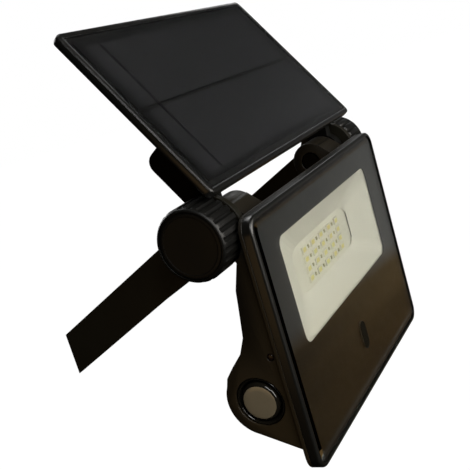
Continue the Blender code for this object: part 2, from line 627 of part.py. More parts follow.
def optics():
    """Reflector pan, LED board, LEDs and the small parts between them."""
    front = GLASS_BACK + PRINT_THICKNESS + 3 * GAP
    back = front + REFLECTOR_DEPTH
    z = TOP_Z - WINDOW_BELOW_TOP
    floor_low = (-REFLECTOR_FLOOR_WIDTH / 2, FACE_Y + back, z - REFLECTOR_FLOOR_HEIGHT / 2)
    floor_high = (REFLECTOR_FLOOR_WIDTH / 2, FACE_Y + back + 0.001, z + REFLECTOR_FLOOR_HEIGHT / 2)
    rim = 0.0030
    pan = tapered_pan("reflector", front, back, rim, 0, "white_optic")
    room = tapered_pan("reflector_room", front - 0.0005, back + 0.0005, 0, REFLECTOR_WALL)
    cut(pan, [room])
    board_front = back + GAP
    board = block("led_board", (floor_low[0] - 0.006, FACE_Y + board_front, floor_low[2] - 0.003),
                  (floor_high[0] + 0.006, FACE_Y + board_front + BOARD_THICKNESS, floor_high[2] + 0.003),
                  "white_optic", None, "Y", 0.002, 3)
    spots = [((column - (LED_COLUMNS - 1) / 2) * LED_PITCH_X, z + (row - (LED_ROWS - 1) / 2) * LED_PITCH_Z)
             for column in range(LED_COLUMNS) for row in range(LED_ROWS)]
    reach_x = (LED_COLUMNS * LED_PITCH_X - LED_PITCH_X + LED_SIZE[0]) / 2
    reach_z = (LED_ROWS * LED_PITCH_Z - LED_PITCH_Z + LED_SIZE[2]) / 2
    carrier_back = FACE_Y + board_front - GAP
    carrier_front = carrier_back - CARRIER_THICKNESS
    array = block("led_array", (-reach_x, carrier_front, z - reach_z), (reach_x, carrier_back, z + reach_z),
                  "led_phosphor")
    packages = [small_block("led_%d" % n, place, LED_SIZE, carrier_front) for n, place in enumerate(spots)]
    between = [(x + LED_PITCH_X / 2, up) for x, up in spots if x + LED_PITCH_X / 2 < LED_PITCH_X * 2]
    chips = [small_block("chip_%d" % n, place, CHIP_SIZE, carrier_front) for n, place in enumerate(between)]
    join_in(array, [gathered("led_packages", packages), gathered("chip_resistors", chips)])
    return [pan, board, array]


def small_block(name, place, size, seat):
    """One package standing on the carrier, sunk into it a little."""
    x, z = place
    return block(name, (x - size[0] / 2, seat - size[1], z - size[2] / 2),
                 (x + size[0] / 2, seat + CARRIER_THICKNESS / 2, z + size[2] / 2))


def tapered_pan(name, front, back, rim, wall, finish=None):
    """A pan whose four walls lean from the window in to the LED field."""
    z = TOP_Z - WINDOW_BELOW_TOP
    shape = bmesh.new()
    wide = WINDOW_WIDTH / 2 + rim
    tall = WINDOW_HEIGHT / 2 + rim
    small_wide = REFLECTOR_FLOOR_WIDTH / 2 + (REFLECTOR_WALL if finish else 0)
    small_tall = REFLECTOR_FLOOR_HEIGHT / 2 + (REFLECTOR_WALL if finish else 0)
    bmesh.ops.create_cube(shape, size=2.0)
    for point in shape.verts:
        at_front = point.co.y < 0
        half_x, half_z = (wide, tall) if at_front else (small_wide, small_tall)
        point.co.x *= half_x
        point.co.z = z + point.co.z * half_z
        point.co.y = FACE_Y + (front if at_front else back)
    lean = [e for e in shape.edges if abs(e.verts[0].co.y - e.verts[1].co.y) > (back - front) / 2]
    bmesh.ops.bevel(shape, geom=lean, offset=WINDOW_CORNER, segments=4, profile=0.5, affect="EDGES")
    return from_bmesh(name, shape, finish)


def electronics():
    """Battery cells in their holder, the control board and the daylight sensor."""
    centre = lamp_point(LOBE_BEHIND, LOBE_BELOW)
    made = []
    for side, word in ((-1, "left"), (1, "right")):
        made.append(rod(word + "_battery_cell", "X", side * 0.001, side * (0.001 + CELL_LENGTH), centre,
                        CELL_RADIUS, "cell_wrap", edge=0.0008))
    reach = CELL_LENGTH + 0.004
    tray_radius = CELL_RADIUS + GAP + HOLDER_WALL
    tray = rod("battery_holder", "X", -reach, reach, centre, tray_radius, "black_abs")
    hollow = rod("holder_hollow", "X", -reach + HOLDER_WALL, reach - HOLDER_WALL, centre, CELL_RADIUS + GAP)
    open_front = block("holder_front", (-reach - 0.001, centre[0] - 2 * tray_radius, centre[1] - 2 * tray_radius),
                       (reach + 0.001, centre[0] + 0.002, centre[1] + 2 * tray_radius))
    cut(tray, [hollow, open_front])
    made.append(tray)
    wide, thick, tall = CONTROL_BOARD
    y, z = lamp_point(CONTROL_BOARD_BEHIND, CONTROL_BOARD_BELOW)
    made.append(block("control_board", (-wide / 2, y, z - tall / 2), (wide / 2, y + thick, z + tall / 2),
                      "green_board", None, "Y", 0.002, 3))
    wide, thick, tall = SENSOR_BOARD
    y, z = lamp_point(SENSOR_BOARD_BEHIND, SENSOR_BELOW)
    made.append(block("sensor_board", (-wide / 2, y, z - tall / 2), (wide / 2, y + thick, z + tall / 2),
                      "green_board"))
    made.append(rod("daylight_sensor", "Y", y - GAP - DETECTOR_LENGTH, y - GAP, (0, z), DETECTOR_RADIUS,
                    "smoked_lens", segments=20, edge=0.0005))
    made.append(sensor_blank("sensor_window", GLASS_FRONT + 0.0001, GLASS_BACK, 0, "smoked_lens"))
    return made


def button_pieces():
    """The guide ring, cap, plunger and switch of the push button, and the indicator above it."""
    hub = lamp_point(LOBE_BEHIND, LOBE_BELOW)
    side = -SIDE_X
    ring = rod("button_ring", "X", side + GAP, side + BUTTON_RING_LENGTH, hub, BUTTON_RING_RADIUS, "gloss_black",
               edge=0.0004)
    cap_outer = side - BUTTON_PROUD
    cap_inner = cap_outer + BUTTON_CAP_LENGTH
    floor = cap_inner + BUTTON_TRAVEL + GAP
    cut(ring, [rod("ring_room", "X", side - 0.001, floor, hub, BUTTON_RADIUS + SLIDE_GAP),
               rod("ring_stem_hole", "X", side - 0.001, side + BUTTON_RING_LENGTH + 0.001, hub,
                   BUTTON_STEM_RADIUS + SLIDE_GAP, segments=24)])
    stem_end = cap_inner + BUTTON_STEM_LENGTH
    cap = rod("power_button", "X", cap_outer, cap_inner, hub, BUTTON_RADIUS, "button_cap", edge=0.0012)
    join_in(cap, [rod("button_stem", "X", cap_inner - 0.001, stem_end, hub, BUTTON_STEM_RADIUS,
                      segments=24)])
    plunger_start = stem_end + GAP
    switch_start = plunger_start + PLUNGER_LENGTH - PLUNGER_INSIDE
    plunger = rod("switch_plunger", "X", plunger_start, plunger_start + PLUNGER_LENGTH, hub, PLUNGER_RADIUS,
                  "chip_black", segments=20)
    half = SWITCH_SIZE / 2
    switch = block("button_switch", (switch_start, hub[0] - half, hub[1] - half),
                   (switch_start + SWITCH_LENGTH, hub[0] + half, hub[1] + half), "black_abs", None, "X", 0.001, 2)
    cut(switch, [rod("switch_bore", "X", switch_start - 0.001,
                     switch_start + PLUNGER_INSIDE + BUTTON_TRAVEL + 2 * GAP, hub, PLUNGER_RADIUS + SLIDE_GAP,
                     segments=20)])
    lens = rod("indicator_lens", "X", side - 0.0002, side + INDICATOR_LENGTH,
               lamp_point(INDICATOR_BEHIND, INDICATOR_BELOW), INDICATOR_RADIUS, "indicator_red", segments=16,
               edge=0.0004)
    slide = axis_empty("power_button_axis", (cap_outer, *hub))
    keep_world([cap, plunger], slide)
    return [ring, switch, lens], slide


def housing_screws():
    """The screws that hold the bezel to the housing, in from behind."""
    seat = FACE_Y + SLAB_DEPTH + GAP
    return [turned_screw("housing_screw_%d" % (number + 1), x, seat, TOP_Z - below)
            for number, (x, below) in enumerate(screw_places())]


def turned_screw(name, x, seat, z):
    """A pan-head screw along Y: its head starts at the seat, and its shank points forwards."""
    shape = bmesh.new()
    profile = [(0.0, SCREW_HEAD_LENGTH), (SCREW_HEAD_RADIUS * 0.75, SCREW_HEAD_LENGTH),
               (SCREW_HEAD_RADIUS, SCREW_HEAD_LENGTH * 0.5), (SCREW_HEAD_RADIUS, 0.0),
               (SCREW_RADIUS, 0.0), (SCREW_RADIUS, -SCREW_LENGTH), (0.0, -SCREW_LENGTH)]
    line = [shape.verts.new((x + radius, seat + along, z)) for radius, along in profile]
    edges = [shape.edges.new(pair) for pair in zip(line, line[1:])]
    bmesh.ops.spin(shape, geom=line + edges, cent=(x, seat, z), axis=(0, 1, 0), angle=2 * math.pi, steps=16,
                   use_merge=True)
    bmesh.ops.remove_doubles(shape, verts=shape.verts, dist=0.00001)
    return from_bmesh(name, shape, "zinc_steel")


def lamp_head():
    """All of the lamp head, on its tilt axis."""
    axis = axis_empty("lamp_tilt_axis", (0, HUB_Y, HUB_Z))
    pieces = [rear_housing()] + front_pieces() + mask_and_gasket() + optics() + electronics()
    fixed, slide = button_pieces()
    pieces += fixed
    pieces += housing_screws()
    keep_world(pieces + [slide], axis)


# ---------------------------------------------------------------- solar panel
def neck_outline():
    """The side outline of a neck, as (along, over) from the hub axis."""
    top = PANEL_BACK - GAP
    start = -math.degrees(math.asin(NECK_UNDER / NECK_RING_RADIUS))
    outline = arc((0, 0), NECK_RING_RADIUS, NECK_RING_ANGLE, 360 + start, 30)
    outline += arc((NECK_LENGTH - NECK_CORNER, NECK_CORNER - NECK_UNDER), NECK_CORNER, -90, 0, 5)
    outline += [(NECK_LENGTH, top), (NECK_START, top)]
    return outline


def panel_head():
    """The panel's tray, its layers and the two necks under it, on their tilt axis."""
    axis = axis_empty("panel_tilt_axis", (0, HUB_Y, HUB_Z), PANEL_TILT)
    half = PANEL_WIDTH / 2
    end = PANEL_START + PANEL_LENGTH
    tray = block("panel_frame", (-half, PANEL_START, PANEL_BACK), (half, end, PANEL_FACE), "black_abs", axis,
                 "Z", PANEL_CORNER, 4)
    soft = tray.modifiers.new("soft_edges", "BEVEL")
    soft.width = PANEL_EDGE
    soft.segments = 2
    soft.limit_method = "ANGLE"
    soft.angle_limit = math.radians(60)
    depth = GLAZING_THICKNESS + CELL_THICKNESS + BACKING_THICKNESS + 3 * GAP
    floor = PANEL_FACE - depth
    corner = PANEL_CORNER - PANEL_RIM
    holes = [panel_sheet("tray_room", floor, PANEL_FACE + 0.001, PANEL_RIM, corner, axis)]
    level = floor + GAP
    panel_sheet("panel_backing", level, level + BACKING_THICKNESS, PANEL_RIM + GAP, corner, axis, "chip_black")
    level += BACKING_THICKNESS + GAP
    cell_sheets(level, axis)
    level += CELL_THICKNESS + GAP
    panel_sheet("panel_glazing", level, PANEL_FACE, PANEL_RIM + GAP, corner, axis, "clear_glass")
    outline = neck_outline()
    for side, word in ((-1, "left"), (1, "right")):
        neck = prism(word + "_neck", outline, min(side * NECK_INNER_X, side * NECK_OUTER_X),
                     max(side * NECK_INNER_X, side * NECK_OUTER_X), "black_abs", axis)
        foot_x = sorted((side * (NECK_INNER_X - FOOT_WIDTH), side * (NECK_INNER_X + NECK_WIDTH / 2)))
        foot_top = PANEL_BACK - GAP
        foot = block(word + "_foot", (foot_x[0], FOOT_START, foot_top - FOOT_THICKNESS),
                     (foot_x[1], NECK_LENGTH, foot_top), None, axis, "Z", 0.002, 3)
        join_in(neck, [foot])
        bores = [rod(word + "_neck_bore", "X", -LAMP_WIDTH / 2, LAMP_WIDTH / 2, (0, 0), BOLT_RADIUS + SLIDE_GAP,
                     None, axis, 24)]
        screw_x = side * (NECK_INNER_X - FOOT_WIDTH / 2)
        for number, along in enumerate(NECK_SCREWS):
            bores.append(rod("%s_foot_hole_%d" % (word, number), "Z", foot_top - 2 * FOOT_THICKNESS,
                             foot_top + 0.001, (screw_x, along), SCREW_RADIUS + GAP, None, axis, 16))
            tip = PANEL_BACK + 0.0010
            holes.append(rod("%s_tray_hole_%d" % (word, number), "Z", PANEL_BACK - 0.001, tip + GAP,
                             (screw_x, along), SCREW_RADIUS + GAP, None, axis, 16))
            seat = foot_top - FOOT_THICKNESS - GAP
            head = rod("%s_neck_screw_%d" % (word, number + 1), "Z", seat - SCREW_HEAD_LENGTH, seat,
                       (screw_x, along), SCREW_HEAD_RADIUS, "zinc_steel", axis, 16, 0.0005)
            join_in(head, [rod("%s_neck_shank_%d" % (word, number), "Z", seat - SCREW_HEAD_LENGTH / 2, tip,
                               (screw_x, along), SCREW_RADIUS, None, axis, 16)])
        cut(neck, bores)
    cut(tray, holes)


def panel_sheet(name, low, high, inset, corner, axis, finish=None):
    """A rounded sheet of the panel's outline."""
    half = PANEL_WIDTH / 2 - inset
    return block(name, (-half, PANEL_START + inset, low), (half, PANEL_START + PANEL_LENGTH - inset, high),
                 finish, axis, "Z", corner, 3)


def cell_sheets(level, axis):
    """Two sheets of cells, one above the other up the slope, and the ribbon let into both."""
    inset = PANEL_RIM + CELL_MARGIN
    half = PANEL_WIDTH / 2 - inset
    low = PANEL_START + inset
    high = PANEL_START + PANEL_LENGTH - inset
    middle = (low + high) / 2
    ribbon_x = -half + RIBBON_INSET
    for word, start, end in (("lower", low, middle - CELL_GAP / 2), ("upper", middle + CELL_GAP / 2, high)):
        sheet = block(word + "_cells", (-half, start, level), (half, end, level + CELL_THICKNESS),
                      "solar_cell", axis)
        cut(sheet, [block(word + "_groove", (ribbon_x - RIBBON_WIDTH / 2 - GAP, low + CELL_MARGIN, level - 0.001),
                          (ribbon_x + RIBBON_WIDTH / 2 + GAP, high - CELL_MARGIN, level + 0.001), None, axis)])
    block("cell_ribbon", (ribbon_x - RIBBON_WIDTH / 2, low + CELL_MARGIN + GAP, level),
          (ribbon_x + RIBBON_WIDTH / 2, high - CELL_MARGIN - GAP, level + CELL_THICKNESS), "silver_ribbon", axis)


wall_bracket()
for hand, label in ((-1, "left"), (1, "right")):
    pivot_pieces(hand, label)
    knob(hand, label)
lamp_head()
panel_head()
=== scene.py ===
# %% [markdown]
# # A solar flood light
# The lamp head and the solar panel swing on one axle, held by two big hand knobs on a steel wall bracket.
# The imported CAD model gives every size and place, so this script only adds shape detail, finishes, light and
# a camera. Work in this file goes from the frame, through the finishes, to the pieces, one cell at a time.

# %% Load the frame
import json
import math

import bmesh
import bpy
from mathutils import Matrix, Vector


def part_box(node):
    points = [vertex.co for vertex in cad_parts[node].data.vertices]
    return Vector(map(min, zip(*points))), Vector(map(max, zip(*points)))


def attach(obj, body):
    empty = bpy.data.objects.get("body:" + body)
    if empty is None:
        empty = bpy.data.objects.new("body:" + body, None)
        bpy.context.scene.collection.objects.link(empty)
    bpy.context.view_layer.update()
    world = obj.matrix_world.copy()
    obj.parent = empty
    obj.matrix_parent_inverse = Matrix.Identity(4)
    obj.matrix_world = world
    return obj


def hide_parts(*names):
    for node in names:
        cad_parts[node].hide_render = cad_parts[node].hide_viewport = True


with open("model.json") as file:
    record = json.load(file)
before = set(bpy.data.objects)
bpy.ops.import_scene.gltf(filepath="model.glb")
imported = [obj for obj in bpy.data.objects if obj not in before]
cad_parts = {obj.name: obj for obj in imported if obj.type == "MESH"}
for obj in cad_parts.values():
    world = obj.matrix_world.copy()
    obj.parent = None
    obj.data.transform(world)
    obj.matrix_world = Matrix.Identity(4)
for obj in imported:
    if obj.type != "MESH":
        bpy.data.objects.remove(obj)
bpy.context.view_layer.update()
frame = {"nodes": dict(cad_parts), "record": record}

# %% [markdown]
# ## Colours and nodes
# Paint charts and colour pickers give sRGB hex, while shaders add light up in linear numbers. One function
# turns one into the other, so every colour below can be written the way a designer reads it.

# %% A colour and a node
def linear(hex_colour):
    """An sRGB hex colour as linear RGBA."""
    channels = [int(hex_colour[start:start + 2], 16) / 255 for start in (0, 2, 4)]
    return tuple(c / 12.92 if c <= 0.04045 else ((c + 0.055) / 1.055) ** 2.4 for c in channels) + (1.0,)


def add_node(tree, kind, values=None, links=None, **settings):
    """Adds a node, sets it up, gives its sockets values and links the rest."""
    node = tree.nodes.new(kind)
    for name, value in settings.items():
        setattr(node, name, value)
    for socket, value in (values or {}).items():
        node.inputs[socket].default_value = value
    for socket, source in (links or {}).items():
        tree.links.new(source, node.inputs[socket])
    return node


def start_finish(name):
    """A new material, its empty node tree and the place of a point on the piece."""
    finish = bpy.data.materials.new(name)
    finish.use_nodes = True
    finish.node_tree.nodes.clear()
    place = add_node(finish.node_tree, "ShaderNodeTexCoord")
    return finish, finish.node_tree, place.outputs["Object"]


def end_finish(tree, values, links):
    """The Principled shader and the output."""
    shader = add_node(tree, "ShaderNodeBsdfPrincipled", values, links)
    add_node(tree, "ShaderNodeOutputMaterial", links={"Surface": shader.outputs[0]})


print("black plastic in linear numbers:", [round(c, 4) for c in linear("1A1813")])

# %% [markdown]
# ## Moulded black ABS
# The housing, knobs and necks are injection-moulded ABS. The steel mould was spark eroded, so the skin has a
# fine leathery grain that breaks up reflections. Grain of 0.3 mm is too fine to show, so it is drawn at 0.9
# mm. No moulded edge is sharp: the Bevel node turns the normals along each edge, which makes its thin bright
# line. Handling leaves patches that are a little shinier, each a few centimetres wide. The housing's lower half
# is painted a little browner and paler, a painted warm light from below.

# %% Black ABS
def black_abs(name, colour, patch_colour, low_rough, high_rough, grain, grain_depth, edge, shine=0.5,
              painted_light_low_colour=None):
    """Moulded black plastic. Grain is its size in metres, edge the radius of its corners, and shine its gloss."""
    finish, tree, place = start_finish(name)
    patches = add_node(tree, "ShaderNodeTexNoise", {"Scale": 1 / 0.035, "Detail": 3.0}, {"Vector": place})
    fine = add_node(tree, "ShaderNodeTexNoise", {"Scale": 1 / grain, "Detail": 2.0}, {"Vector": place})
    tint = add_node(tree, "ShaderNodeMix", {6: linear(colour), 7: linear(patch_colour)},
                    {0: patches.outputs["Fac"]}, data_type="RGBA")
    # Painted light: from z = 0.01 down to z = -0.075 the colour fades to the paler brown low colour, for warm
    # light on the lower half.
    if painted_light_low_colour:
        parts = add_node(tree, "ShaderNodeSeparateXYZ", links={"Vector": place})
        painted_low_light = add_node(tree, "ShaderNodeMapRange", {"From Min": 0.01, "From Max": -0.075},
                         {"Value": parts.outputs["Z"]})
        tint = add_node(tree, "ShaderNodeMix", {7: linear(painted_light_low_colour)},
                        {0: painted_low_light.outputs[0], 6: tint.outputs[2]},
                        data_type="RGBA")
    rough = add_node(tree, "ShaderNodeMapRange", {"From Min": 0.3, "From Max": 0.7, "To Min": low_rough,
                                                  "To Max": high_rough}, {"Value": patches.outputs["Fac"]})
    corner = add_node(tree, "ShaderNodeBevel", {"Radius": edge}, samples=4)
    bump = add_node(tree, "ShaderNodeBump", {"Strength": 0.5, "Distance": grain_depth},
                    {"Height": fine.outputs["Fac"], "Normal": corner.outputs[0]})
    end_finish(tree, {"IOR": 1.54, "Specular IOR Level": shine},
               {"Base Color": tint.outputs[2], "Roughness": rough.outputs[0], "Normal": bump.outputs[0]})
    return finish


# 342B1B is painted light: the paler brown that the lower half of the housing fades to.
housing_abs = black_abs("spark_grained_abs", "19150B", "15110A", 0.38, 0.48, 0.0009, 0.00005, 0.0006, 0.5,
                        "342B1B")
knob_abs = black_abs("satin_knob_abs", "090907", "070706", 0.34, 0.44, 0.0008, 0.00003, 0.0003, 0.3)
# Painted shade: the necks' copy is a darker, duller black than the housing, for the shadow that the panel casts
# on them.
shaded_neck_abs = black_abs("shade_darkened_neck_abs", "090907", "070706", 0.50, 0.60, 0.0009, 0.00004, 0.0006, 0.15)
bezel_abs = black_abs("polished_bezel_abs", "10100E", "0D0D0B", 0.28, 0.34, 0.0014, 0.00001, 0.0002)
tray_abs = black_abs("polished_tray_abs", "141413", "10100F", 0.22, 0.28, 0.0014, 0.00001, 0.0012)
print("five mouldings of black ABS")

# %% [markdown]
# ## Powder-coated steel
# The bracket is bent mild steel with a black powder coat. The powder melts into a skin with an orange-peel
# ripple about 2 mm across. The coat is thin on the edges, so they shine a little more.

# %% Powder coat
def powder_coated_steel():
    finish, tree, place = start_finish("powder_coated_steel")
    peel = add_node(tree, "ShaderNodeTexNoise", {"Scale": 1 / 0.002, "Detail": 1.0}, {"Vector": place})
    dust = add_node(tree, "ShaderNodeTexNoise", {"Scale": 1 / 0.03, "Detail": 4.0}, {"Vector": place})
    tint = add_node(tree, "ShaderNodeMix", {6: linear("13120C"), 7: linear("1B1912")},
                    {0: dust.outputs["Fac"]}, data_type="RGBA")
    rough = add_node(tree, "ShaderNodeMapRange", {"To Min": 0.30, "To Max": 0.50},
                     {"Value": dust.outputs["Fac"]})
    corner = add_node(tree, "ShaderNodeBevel", {"Radius": 0.0006}, samples=4)
    bump = add_node(tree, "ShaderNodeBump", {"Strength": 0.4, "Distance": 0.00005},
                    {"Height": peel.outputs["Fac"], "Normal": corner.outputs[0]})
    end_finish(tree, {"IOR": 1.5, "Specular IOR Level": 0.3},
               {"Base Color": tint.outputs[2], "Roughness": rough.outputs[0],
                                    "Normal": bump.outputs[0]})
    return finish


bracket_coat = powder_coated_steel()
print("powder coat with ripples of 2 mm")

# %% [markdown]
# ## Zinc-plated steel, brass and copper
# The screws are steel with a bright zinc plate. The two pivot bolts are plated too, and then dipped black,
# since their heads show beside the arms. The inserts in the knobs are turned brass. The ribbon that joins the
# solar cells is tinned copper, blackened so that it doesn't show. All are metals, so their colour is in their
# reflection, and only the colour and the scratch size change.

# %% Metals
def bare_metal(name, colour, dull_colour, scratch, low_rough, high_rough):
    """A bare metal. Scratch is the spacing of its fine marks in metres."""
    finish, tree, place = start_finish(name)
    marks = add_node(tree, "ShaderNodeTexNoise", {"Scale": 1 / scratch, "Detail": 4.0}, {"Vector": place})
    tint = add_node(tree, "ShaderNodeMix", {6: linear(colour), 7: linear(dull_colour)},
                    {0: marks.outputs["Fac"]}, data_type="RGBA")
    rough = add_node(tree, "ShaderNodeMapRange", {"To Min": low_rough, "To Max": high_rough},
                     {"Value": marks.outputs["Fac"]})
    bump = add_node(tree, "ShaderNodeBump", {"Strength": 0.3, "Distance": 0.00002},
                    {"Height": marks.outputs["Fac"]})
    end_finish(tree, {"Metallic": 1.0}, {"Base Color": tint.outputs[2], "Roughness": rough.outputs[0],
                                         "Normal": bump.outputs[0]})
    return finish


zinc_plate = bare_metal("zinc_plated_steel", "B9BBBE", "8F9296", 0.0006, 0.22, 0.42)
black_zinc = bare_metal("black_zinc_plate", "26241F", "1A1915", 0.0006, 0.35, 0.50)
turned_brass = bare_metal("turned_brass", "D8B774", "B08D4C", 0.0005, 0.20, 0.38)
dark_ribbon = bare_metal("blackened_copper_ribbon", "454547", "38383A", 0.0008, 0.45, 0.60)
print("four bare metals")

# %% [markdown]
# ## Glass
# The front pane is toughened soda-lime glass, polished by fire on both sides, with an IOR of 1.52. The solar
# panel's cover is the same glass, thinner and a little wavy. A real transmission shader is used, because the
# tray and the LEDs lie behind the front pane, and its two surfaces each throw their own reflection.

# %% Glass
def float_glass(name, colour, ripple_depth, rough):
    """Clear glass with a slow ripple, about 40 mm from crest to crest."""
    finish, tree, place = start_finish(name)
    ripple = add_node(tree, "ShaderNodeTexNoise", {"Scale": 1 / 0.04, "Detail": 1.0}, {"Vector": place})
    bump = add_node(tree, "ShaderNodeBump", {"Strength": 0.3, "Distance": ripple_depth},
                    {"Height": ripple.outputs["Fac"]})
    end_finish(tree,
               {"Base Color": linear(colour), "Roughness": rough, "IOR": 1.52, "Transmission Weight": 1.0},
               {"Normal": bump.outputs[0]})
    return finish


front_pane_glass = float_glass("toughened_glass", "F7FAF6", 0.00002, 0.015)
solar_cover_glass = float_glass("solar_cover_glass", "F2F4F6", 0.00006, 0.10)
print("front pane and solar cover")

# %% [markdown]
# ## Fired enamel
# The pane's black border is a ceramic ink, screen printed and fired. Through the glass it looks very deep,
# with a slight brown in it, and it has pinholes far too fine to see, drawn here as faint blotches of 6 mm.

# %% Enamel
def fired_enamel():
    finish, tree, place = start_finish("fired_enamel")
    cloud = add_node(tree, "ShaderNodeTexNoise", {"Scale": 1 / 0.006, "Detail": 2.0}, {"Vector": place})
    tint = add_node(tree, "ShaderNodeMix", {6: linear("120E09"), 7: linear("16110B")},
                    {0: cloud.outputs["Fac"]}, data_type="RGBA")
    rough = add_node(tree, "ShaderNodeMapRange", {"To Min": 0.30, "To Max": 0.45},
                     {"Value": cloud.outputs["Fac"]})
    end_finish(tree, {}, {"Base Color": tint.outputs[2], "Roughness": rough.outputs[0]})
    return finish


enamel = fired_enamel()
print("enamel border")

# %% [markdown]
# ## White reflector and LED parts
# The tray behind the glass is white polycarbonate, moulded with a soft satin skin, and aged to a warm cream.
# The board is white solder mask over fibreglass. Each LED is a white ceramic body around a pool of yellow
# phosphor.

# %% Whites and phosphor
def soft_plastic(name, colour, shade, mottle, rough, glow=0.0):
    """A pale moulded plastic. Mottle is the size of its cloudiness in metres, and glow its translucency."""
    finish, tree, place = start_finish(name)
    cloud = add_node(tree, "ShaderNodeTexNoise", {"Scale": 1 / mottle, "Detail": 3.0}, {"Vector": place})
    tint = add_node(tree, "ShaderNodeMix", {6: linear(colour), 7: linear(shade)},
                    {0: cloud.outputs["Fac"]}, data_type="RGBA")
    bump = add_node(tree, "ShaderNodeBump", {"Strength": 0.2, "Distance": 0.00003},
                    {"Height": cloud.outputs["Fac"]})
    end_finish(tree, {"Roughness": rough, "Subsurface Weight": glow, "Subsurface Scale": 0.002},
               {"Base Color": tint.outputs[2], "Normal": bump.outputs[0]})
    return finish


reflector_white = soft_plastic("white_polycarbonate", "EDE9DF", "E8E4D8", 0.02, 0.42)
board_white = soft_plastic("white_solder_mask", "ECE8DC", "E6E2D3", 0.01, 0.50)
phosphor = soft_plastic("yellow_phosphor", "EFE3A0", "E7D884", 0.0012, 0.35, 0.3)
ceramic = soft_plastic("white_ceramic", "F0ECDD", "E8E3D2", 0.004, 0.40)
print("white and phosphor parts")

# %% [markdown]
# ## Solar cells
# A monocrystalline cell is nearly black silicon. Fine silver fingers run across it. They stand 2 mm apart on
# the real cell and are under 0.1 mm wide, so they are drawn as faint lines that only lift the grey a little.
# The cells lie in a laminate sheet whose border is darker than they are, and darker seams part one cell from
# the next. The panel leans, so the pattern's Y is turned to run up its slope, and is measured from the middle
# of the panel.

# %% Solar cells
PANEL_TILT = math.radians(57.15)
PANEL_MIDDLE = 0.0486
FINGER_PITCH = 0.002
SEAM_PITCH = 0.0387
SEAM_HALF = 0.0006
MIDDLE_SEAM_HALF = 0.0016
CELLS_HALF_WIDTH = 0.0912
CELLS_HALF_HEIGHT = 0.0452


def compare(tree, operation, value, limit):
    """1 where a value is above or below a limit, else 0."""
    return add_node(tree, "ShaderNodeMath", {1: limit}, {0: value}, operation=operation).outputs[0]


def solar_silicon():
    finish, tree, place = start_finish("monocrystalline_silicon")
    slope = add_node(tree, "ShaderNodeMapping",
                     {"Rotation": (-PANEL_TILT, 0, 0), "Location": (0, -PANEL_MIDDLE, 0)},
                     {"Vector": place})
    parts = add_node(tree, "ShaderNodeSeparateXYZ", links={"Vector": slope.outputs[0]})
    across = add_node(tree, "ShaderNodeMath", links={0: parts.outputs["X"]}, operation="ABSOLUTE")
    along = add_node(tree, "ShaderNodeMath", links={0: parts.outputs["Y"]}, operation="ABSOLUTE")
    grain = add_node(tree, "ShaderNodeTexNoise", {"Scale": 1 / 0.03, "Detail": 3.0}, {"Vector": place})
    finger = add_node(tree, "ShaderNodeMath", {1: FINGER_PITCH}, {0: parts.outputs["Y"]},
                      operation="PINGPONG")
    finger_line = compare(tree, "LESS_THAN", finger.outputs[0], 0.00012)
    seam = add_node(tree, "ShaderNodeMath", {1: SEAM_PITCH / 2}, {0: parts.outputs["X"]},
                    operation="PINGPONG")
    outer = compare(tree, "GREATER_THAN", across.outputs[0], SEAM_PITCH * 1.5)
    seam_line = compare(tree, "LESS_THAN", seam.outputs[0], SEAM_HALF)
    dark = add_node(tree, "ShaderNodeMath", links={0: seam_line, 1: outer}, operation="MULTIPLY").outputs[0]
    for line in (compare(tree, "LESS_THAN", along.outputs[0], MIDDLE_SEAM_HALF),
                 compare(tree, "GREATER_THAN", along.outputs[0], CELLS_HALF_HEIGHT),
                 compare(tree, "GREATER_THAN", across.outputs[0], CELLS_HALF_WIDTH)):
        dark = add_node(tree, "ShaderNodeMath", links={0: dark, 1: line}, operation="MAXIMUM").outputs[0]
    base = add_node(tree, "ShaderNodeMix", {6: linear("28282A"), 7: linear("2E2E2F")},
                    {0: grain.outputs["Fac"]}, data_type="RGBA")
    cell = add_node(tree, "ShaderNodeMix", {7: linear("313132")}, {0: finger_line, 6: base.outputs[2]},
                    data_type="RGBA")
    tint = add_node(tree, "ShaderNodeMix", {7: linear("0A0A0A")}, {0: dark, 6: cell.outputs[2]},
                    data_type="RGBA")
    end_finish(tree, {"Roughness": 0.38}, {"Base Color": tint.outputs[2]})
    return finish


silicon = solar_silicon()
print("cells with fingers every", FINGER_PITCH * 1000, "mm")

# %% [markdown]
# ## Small plastics
# The sensor's window is smoked polycarbonate, black to the eye. The mode button is a smoky translucent cap
# over a white light guide, so it looks like grey horn. The indicator is a tinted lens. Boards, cell sleeves,
# chips and rubber are inside, or show as thin lines, yet each has its own finish.

# %% Small plastics
def tinted_plastic(name, colour, shade, mottle, rough, coat=0.0, shine=0.5):
    """A coloured plastic or rubber. Mottle is the size of its cloudiness in metres, and coat a clear gloss."""
    finish, tree, place = start_finish(name)
    cloud = add_node(tree, "ShaderNodeTexNoise", {"Scale": 1 / mottle, "Detail": 3.0}, {"Vector": place})
    tint = add_node(tree, "ShaderNodeMix", {6: linear(colour), 7: linear(shade)},
                    {0: cloud.outputs["Fac"]}, data_type="RGBA")
    bump = add_node(tree, "ShaderNodeBump", {"Strength": 0.2, "Distance": 0.00002},
                    {"Height": cloud.outputs["Fac"]})
    end_finish(tree, {"Roughness": rough, "Coat Weight": coat, "Coat Roughness": 0.05,
                      "Specular IOR Level": shine},
               {"Base Color": tint.outputs[2], "Normal": bump.outputs[0]})
    return finish


